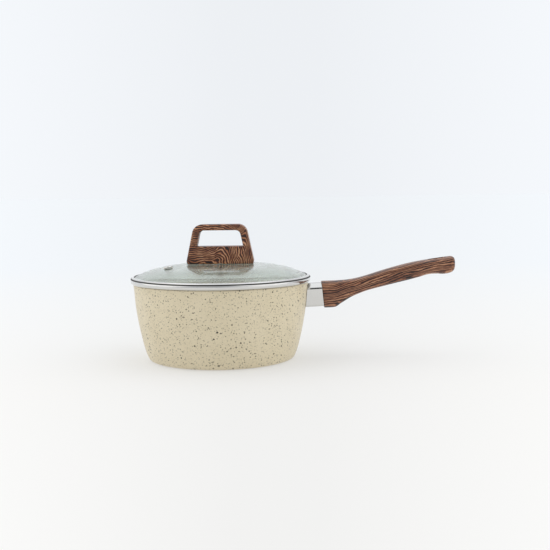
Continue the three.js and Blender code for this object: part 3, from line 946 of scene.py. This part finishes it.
class SAUCEPAN_OT_grip(Maker, bpy.types.Operator):
    """Moulds the long grip, with its hanging hole, its socket and its screw recess"""

    bl_idname = "saucepan.grip"
    bl_label = "Grip"

    def make(self, scene):
        self.top, self.bottom, self.width = (
            smooth_line(points, GRIP_STEPS) for points in (GRIP_TOP, GRIP_BOTTOM, GRIP_WIDTH)
        )
        steps, tip, shoulder = 110, 3.4, 0.8
        body = GRIP_END - tip
        quarter = [(math.cos(k * math.pi / 8), math.sin(k * math.pi / 8)) for k in range(4)]
        sections = [self.section(GRIP_START + shoulder * (1 - c), shoulder * (1 - s)) for c, s in quarter]
        sections += [
            self.section(GRIP_START + shoulder + (body - GRIP_START - shoulder) * i / steps, 0.0)
            for i in range(steps + 1)
        ]
        for k in range(1, 9):
            share = k / 8
            sections.append(self.section(body + tip * share, 0.8 * tip * (1 - math.sqrt(1 - share**2))))
        piece = lofted("grip", sections, sharp=50)
        carve(piece, self.cutters(), edge=scene.saucepan_handle.hole_edge / MM, sharp=40)
        self.lay_grain(piece)
        material = wood_print("grain_printed_phenolic_grip", grip_grain, GRIP_STOPS)
        dress(piece, "pan", "wood_print", material, "handle_grip")

    def section(self, x, shrink):
        """Rounded block between the top and bottom edges at x."""
        top, bottom = value_at(self.top, x), value_at(self.bottom, x)
        half = value_at(self.width, x) / 2 - shrink
        tall, middle = (top - bottom) / 2 - shrink, (top + bottom) / 2
        slant = SLANT * max(0.0, 1 - (x - GRIP_START) / SLANT_FADE)
        count, power = 72, 2 / 3
        points = []
        for i in range(count):
            turn = 2 * math.pi * i / count
            c, s = math.cos(turn), math.sin(turn)
            height = middle + math.copysign(abs(s) ** power, s) * tall
            across = math.copysign(abs(c) ** power, c) * half
            points.append((x + slant * (SLANT_HEIGHT - height), across, height))
        return points

    def cutters(self):
        width, reach = HANG_HOLE["width"], (HANG_HOLE["length"] - HANG_HOLE["width"]) / 2
        outline = []
        for i in range(48):
            turn = 2 * math.pi * (i + 0.5) / 48
            shift = reach if math.cos(turn) > 0 else -reach
            outline.append((HANG_HOLE["x"] + shift + width / 2 * math.cos(turn), width / 2 * math.sin(turn)))
        under, over, below = 60, 120, 40  # heights past the grip's faces
        hole = lofted("hole_cutter", [[(x, y, z) for x, y in outline] for z in (under, over)])
        height, half, slot = TONGUE["height"], TONGUE["half"], TONGUE["slot"]
        socket = block(
            "socket_cutter", (GRIP_START - 5, -half, height - slot), (TONGUE["end"] + 1, half, height + slot)
        )
        at_screw = Matrix.Translation((HANDLE_SCREW_X, 0, 0))
        wells = [
            turned(name, [(0, below), (radius, below), (radius, top), (0, top)], place=at_screw)
            for name, radius, top in (("seat_cutter", 5, SCREW_SEAT), ("bore_cutter", 2.4, SCREW_BORE))
        ]
        return [hole, socket, *wells]

    def lay_grain(self, piece):
        """Stores how far along, across and above the grip's middle line each point is, in millimetres."""
        grain = piece.data.attributes.new("grain", "FLOAT_VECTOR", "POINT")
        for vertex, value in zip(piece.data.vertices, grain.data):
            x, y, z = vertex.co / MM
            middle = (value_at(self.top, x) + value_at(self.bottom, x)) / 2
            value.vector = (x, y, z - middle)


class SAUCEPAN_OT_handle_fixings(Maker, bpy.types.Operator):
    """Turns the handle's screw and its washer"""

    bl_idname = "saucepan.handle_fixings"
    bl_label = "Handle screw"

    def make(self, scene):
        place = Matrix.Translation((HANDLE_SCREW_X, 0, 0))
        low, high = SCREW_LOW.z, SCREW_HIGH.z
        head = [(0, low), (2.4, low), (3.6, low + 0.8), (4.0, low + 1.7), (4.0, low + 2.5)]
        neck = low + 2.5
        shank = [(4.0, neck), *thread(1.9, neck, high - 0.7), (1.2, high), (0, high)]
        screw = turned("grip_screw", [*soften(head, 0.4)[:-1], *shank], place=place)
        carve(screw, cross_recess("recess", (HANDLE_SCREW_X, 0, low)), edge=0.0)
        zinc = shared("zinc_plated_steel", zinc_plated_steel)
        dress(screw, "pan", "screw_steel", zinc, "handle_screw")
        low, high = low_high("handle_screw_washer")
        washer = turned("grip_washer", ring_profile(2.3, 4.6, low.z, high.z, 0.2), closed=True, place=place)
        dress(washer, "pan", "screw_steel", zinc, "handle_screw_washer")


def thread(radius, low, high, pitch=0.7):
    """Profile of a thread's crests and roots, from low to high."""
    points = [(radius - 0.25, low)]
    turns = int((high - low - 2) / pitch)
    start = high - turns * pitch
    points.append((radius - 0.25, start))
    for i in range(turns):
        points += [(radius, start + (i + 0.4) * pitch), (radius, start + (i + 0.6) * pitch),
                   (radius - 0.25, start + (i + 1) * pitch)]  # fmt: skip
    return points


class SAUCEPAN_OT_lid_glass(Maker, bpy.types.Operator):
    """Presses the glass dome, with its knob hole and vent hole"""

    bl_idname = "saucepan.lid_glass"
    bl_label = "Glass dome"

    def make(self, scene):
        settings = scene.saucepan_lid
        thickness, hole, edge = settings.glass_thickness / MM, 3.0, GLASS_HIGH.x
        steps, crowding, last = 40, 1.3, edge - 1.8  # stations crowd towards the edge
        stations = [hole + (last - hole) * (1 - (1 - i / steps) ** crowding) for i in range(steps + 1)]
        under = []
        for radius in stations:
            slope = glass_slope(radius)
            lean = math.hypot(1, slope)
            under.append((radius - thickness * slope / lean, glass_height(radius) - thickness / lean))
        under[0] = (hole, GLASS_HIGH.z - thickness)
        lip = edge - 0.4
        rim = soften([under[-1], (88, 81.4), (edge, 82.5), (edge, 84.3), (lip, glass_height(lip))], 0.8)
        top = [(radius, glass_height(radius)) for radius in reversed(stations)]
        piece = turned("glass_dome", [*under[:-1], *rim, *top], closed=True, rounds=ROUND, sharp=50)
        vent, reach = 3.9, 12
        bit = [(0, -reach), (vent, -reach), (vent, reach), (0, reach)]
        drill = turned("vent_drill", bit, place=vent_place())
        carve(piece, [drill], sharp=50)
        dress(piece, "lid", "tempered_glass", tempered_glass(settings), "lid_glass")


def vent_place():
    """Stands an axis along Z square on the dome, at the vent."""
    low, high = low_high("vent_gasket")
    spot = (low + high) / 2
    radius = math.hypot(spot.x, spot.y)
    slope = glass_slope(radius)
    normal = Vector((slope * spot.x / radius, slope * spot.y / radius, 1)).normalized()
    lift = 0.62  # of the gasket's middle above the glass
    foot = spot - normal * lift
    return Matrix.Translation(foot) @ Vector((0, 0, 1)).rotation_difference(normal).to_matrix().to_4x4()


class SAUCEPAN_OT_lid_band(Maker, bpy.types.Operator):
    """Rolls the steel band round the glass"""

    bl_idname = "saucepan.lid_band"
    bl_label = "Rim band"

    def make(self, scene):
        seat = PAN_HIGH.z + PLATE_GAP
        profile = soften(
            [
                (84.9, 76.6), (86, 76.6), (86, 78.8), (86.7, seat), (91.6, seat), (92.6, 80.5),
                (92.9, 82.2), (92.7, 84), (91.9, 85.4), (90.6, 86.3), (89.2, 86.6), (89.2, 86),
                (90.5, 85.5), (91.5, 84.4), (92, 83.2), (92, 81.7), (91.3, 80.6), (85.8, 80.6),
                (84.9, 79.7),
            ],
            0.8, closed=True, steps=4,
        )  # fmt: skip
        piece = turned("rim_band", profile, closed=True, rounds=ROUND, sharp=60)
        steel = shared("buffed_stainless_steel", polished_stainless)
        dress(piece, "lid", "polished_steel", steel, "lid_rim_band")
        # Painted shade: a black bead laid in the band's rolled edge stands in for the dark line of shade along
        # its curl.
        bead = [(92.74, 84), (92.5, 84.75), (91.95, 85.4), (91.6, 85.3), (92.1, 84.5), (92.3, 84)]
        seam = turned("rim_painted_shade_line", soften(bead, 0.2, closed=True), closed=True, rounds=ROUND, sharp=60)
        dress(seam, "lid", "silicone", seam_compound(), "lid_rim_band")


class SAUCEPAN_OT_vent(Maker, bpy.types.Operator):
    """Crimps the steam vent's eyelet, gasket and washer into the glass"""

    bl_idname = "saucepan.vent"
    bl_label = "Steam vent"

    def make(self, scene):
        place = vent_place()
        under = -scene.saucepan_lid.glass_thickness / MM
        eyelet = soften(
            [(2.2, under - 2.1), (4.9, under - 2.1), (4.9, under - 1.4), (3.4, under - 1.4), (3.4, 1.2),
             (4.7, 1.2), (4.5, 1.9), (3.6, 2.2), (2.7, 2.0), (2.2, 1.2)],
            0.35, closed=True,
        )  # fmt: skip
        piece = turned("vent_ring", eyelet, closed=True, place=place)
        steel = shared("buffed_stainless_steel", polished_stainless)
        dress(piece, "lid", "polished_steel", steel, "vent_eyelet")
        seal = turned("vent_seal", ring_profile(3.7, 4.9, 0.35, 0.9), closed=True, place=place)
        dress(seal, "lid", "silicone", shared("moulded_silicone", silicone), "vent_gasket")
        below = ring_profile(3.7, 5.8, under - 1.1, under - 0.4)
        back = turned("vent_backing", below, closed=True, place=place)
        dress(back, "lid", "screw_steel", shared("zinc_plated_steel", zinc_plated_steel), "vent_washer")


def arc(centre, radius, start, end, steps=16):
    return [
        (centre[0] + radius * math.cos(start + (end - start) * i / steps),
         centre[1] + radius * math.sin(start + (end - start) * i / steps))
        for i in range(steps + 1)
    ]  # fmt: skip


class SAUCEPAN_OT_knob(Maker, bpy.types.Operator):
    """Moulds the loop knob"""

    bl_idname = "saucepan.knob"
    bl_label = "Loop knob"

    lean = math.radians(12)

    def make(self, scene):
        edge = scene.saucepan_lid.knob_edge / MM
        base, top = KNOB_LOW.z, KNOB_HIGH.z
        foot, half_foot, half_base = 3.0, KNOB_HIGH.x - 0.7, KNOB_HIGH.x
        outer = [(-half_foot, base), (half_foot, base), (half_base, base + foot)]
        outer += self.shoulders(half_base - (top - base - foot) * math.tan(self.lean), top, 10.0)
        outer.append((-half_base, base + foot))
        sill, lintel, half_window = 116.4, 133.0, 23.8
        window = [(-half_window, sill), (half_window, sill)]
        window += self.shoulders(half_window - (lintel - sill) * math.tan(self.lean), lintel, 5.2)
        piece = self.extruded("loop_knob", [outer, window], edge)
        recess, shelf, bore, deep = 9.6, base + 1.2, 3.5, base + 14.4
        centre = turned("bore_cutter", [(0, base - 5), (recess, base - 5), (recess, shelf), (bore, shelf),
                                        (bore, deep), (0, deep)])  # fmt: skip
        carve(piece, [centre], sharp=40)
        material = wood_print("grain_printed_phenolic_knob", knob_grain, KNOB_STOPS)
        dress(piece, "lid", "wood_print", material, "lid_knob")

    def shoulders(self, half_top, top, corner):
        """The two rounded upper corners of a trapezoid that leans in."""
        run = corner * math.tan((math.pi / 2 - self.lean) / 2)
        right = arc((half_top - run, top - corner), corner, self.lean, math.pi / 2)
        left = arc((run - half_top, top - corner), corner, math.pi / 2, math.pi - self.lean)
        return right + left

    def extruded(self, name, outlines, edge):
        """A plate with rounded edges, standing in the plane of X and Z."""
        depth = KNOB_HIGH.y - KNOB_LOW.y
        curve = bpy.data.curves.new(name, "CURVE")
        curve.dimensions = "2D"
        curve.fill_mode = "BOTH"
        curve.extrude = (depth / 2 - edge) * MM
        curve.bevel_depth = edge * MM
        curve.bevel_resolution = 5
        curve.offset = -edge * MM
        for outline in outlines:
            spline = curve.splines.new("POLY")
            spline.points.add(len(outline) - 1)
            for point, (x, y) in zip(spline.points, outline):
                point.co = (x * MM, y * MM, 0, 1)
            spline.use_cyclic_u = True
        flat = bpy.data.objects.new(name + "_outline", curve)
        bpy.context.scene.collection.objects.link(flat)
        graph = bpy.context.evaluated_depsgraph_get()
        mesh = bpy.data.meshes.new_from_object(flat.evaluated_get(graph))
        bpy.data.objects.remove(flat)
        mesh.transform(Matrix.Rotation(math.pi / 2, 4, "X"))
        joined = bmesh.new()
        joined.from_mesh(mesh)
        bmesh.ops.remove_doubles(joined, verts=joined.verts, dist=0.005 * MM)
        bmesh.ops.recalc_face_normals(joined, faces=joined.faces)
        joined.to_mesh(mesh)
        joined.free()
        mesh.name = name
        piece = bpy.data.objects.new(name, mesh)
        bpy.context.scene.collection.objects.link(piece)
        return piece


class SAUCEPAN_OT_knob_fixings(Maker, bpy.types.Operator):
    """Turns what holds the knob: insert, gaskets, washers and screw"""

    bl_idname = "saucepan.knob_fixings"
    bl_label = "Knob fixings"

    def make(self, scene):
        zinc = shared("zinc_plated_steel", zinc_plated_steel)
        rubber = shared("moulded_silicone", silicone)
        for name, node, inner, outer, slot, material in (
            ("brass_insert", "knob_insert", 2.3, 3.2, "brass", turned_brass()),
            ("upper_seal", "knob_gasket", 3.4, 9.2, "silicone", rubber),
            ("lower_seal", "under_glass_gasket", 2.6, 9.0, "silicone", rubber),
            ("flat_washer", "knob_washer", 2.3, 8.0, "screw_steel", zinc),
            ("spring_washer", "knob_spring_washer", 2.3, 4.1, "screw_steel", zinc),
        ):
            low, high = low_high(node)
            piece = turned(name, ring_profile(inner, outer, low.z, high.z), closed=True)
            if node == "knob_spring_washer":
                carve(piece, [self.split(low.z, high.z)])
            dress(piece, "lid", slot, material, node)
        low, high = low_high("knob_screw")
        neck = low.z + 2.4
        head = [(0, low.z), (2.4, low.z), (3.7, low.z + 0.9), (4.2, low.z + 1.7), (4.2, neck)]
        shank = [(4.2, neck), *thread(1.9, neck, high.z - 0.7), (1.3, high.z), (0, high.z)]
        screw = turned("knob_bolt", [*soften(head, 0.4)[:-1], *shank])
        carve(screw, cross_recess("recess", (0, 0, low.z)))
        dress(screw, "lid", "screw_steel", zinc, "knob_screw")

    def split(self, low, high):
        """The slanted cut through a spring washer."""
        cutter = block("split_cutter", (1.5, -0.4, low - 1), (6, 0.4, high + 1))
        middle = Matrix.Translation((0, 0, (low + high) / 2 * MM))
        cutter.data.transform(middle @ Matrix.Rotation(math.radians(35), 4, "X") @ middle.inverted())
        return cutter


class SAUCEPAN_PT_panel(bpy.types.Panel):
    """Lists the settings and the operators"""

    bl_idname = "SAUCEPAN_PT_panel"
    bl_label = "Saucepan"
    bl_space_type = "VIEW_3D"
    bl_region_type = "UI"
    bl_category = "Saucepan"

    def draw(self, context):
        layout = self.layout
        for name in SETTINGS:
            settings = getattr(context.scene, name)
            box = layout.box()
            for key in settings.__annotations__:
                box.prop(settings, key)
        for operator in OPERATORS:
            layout.operator(operator.bl_idname)


SETTINGS = {
    "saucepan_pan": PanSettings,
    "saucepan_lid": LidSettings,
    "saucepan_handle": HandleSettings,
    "saucepan_stage": StageSettings,
}
OPERATORS = (
    SAUCEPAN_OT_stage,
    SAUCEPAN_OT_pan_body,
    SAUCEPAN_OT_base_plate,
    SAUCEPAN_OT_bracket,
    SAUCEPAN_OT_ferrule,
    SAUCEPAN_OT_grip,
    SAUCEPAN_OT_handle_fixings,
    SAUCEPAN_OT_lid_glass,
    SAUCEPAN_OT_lid_band,
    SAUCEPAN_OT_vent,
    SAUCEPAN_OT_knob,
    SAUCEPAN_OT_knob_fixings,
)


def register():
    for group in (*SETTINGS.values(), *OPERATORS, SAUCEPAN_PT_panel):
        bpy.utils.register_class(group)
    for name, group in SETTINGS.items():
        setattr(bpy.types.Scene, name, bpy.props.PointerProperty(type=group))


def unregister():
    for name in SETTINGS:
        delattr(bpy.types.Scene, name)
    for group in (SAUCEPAN_PT_panel, *reversed(OPERATORS), *reversed(SETTINGS.values())):
        bpy.utils.unregister_class(group)


def main():
    register()
    for operator in OPERATORS:
        section, action = operator.bl_idname.split(".")
        getattr(getattr(bpy.ops, section), action)()
    bpy.context.view_layer.update()


if __name__ == "__main__":
    main()
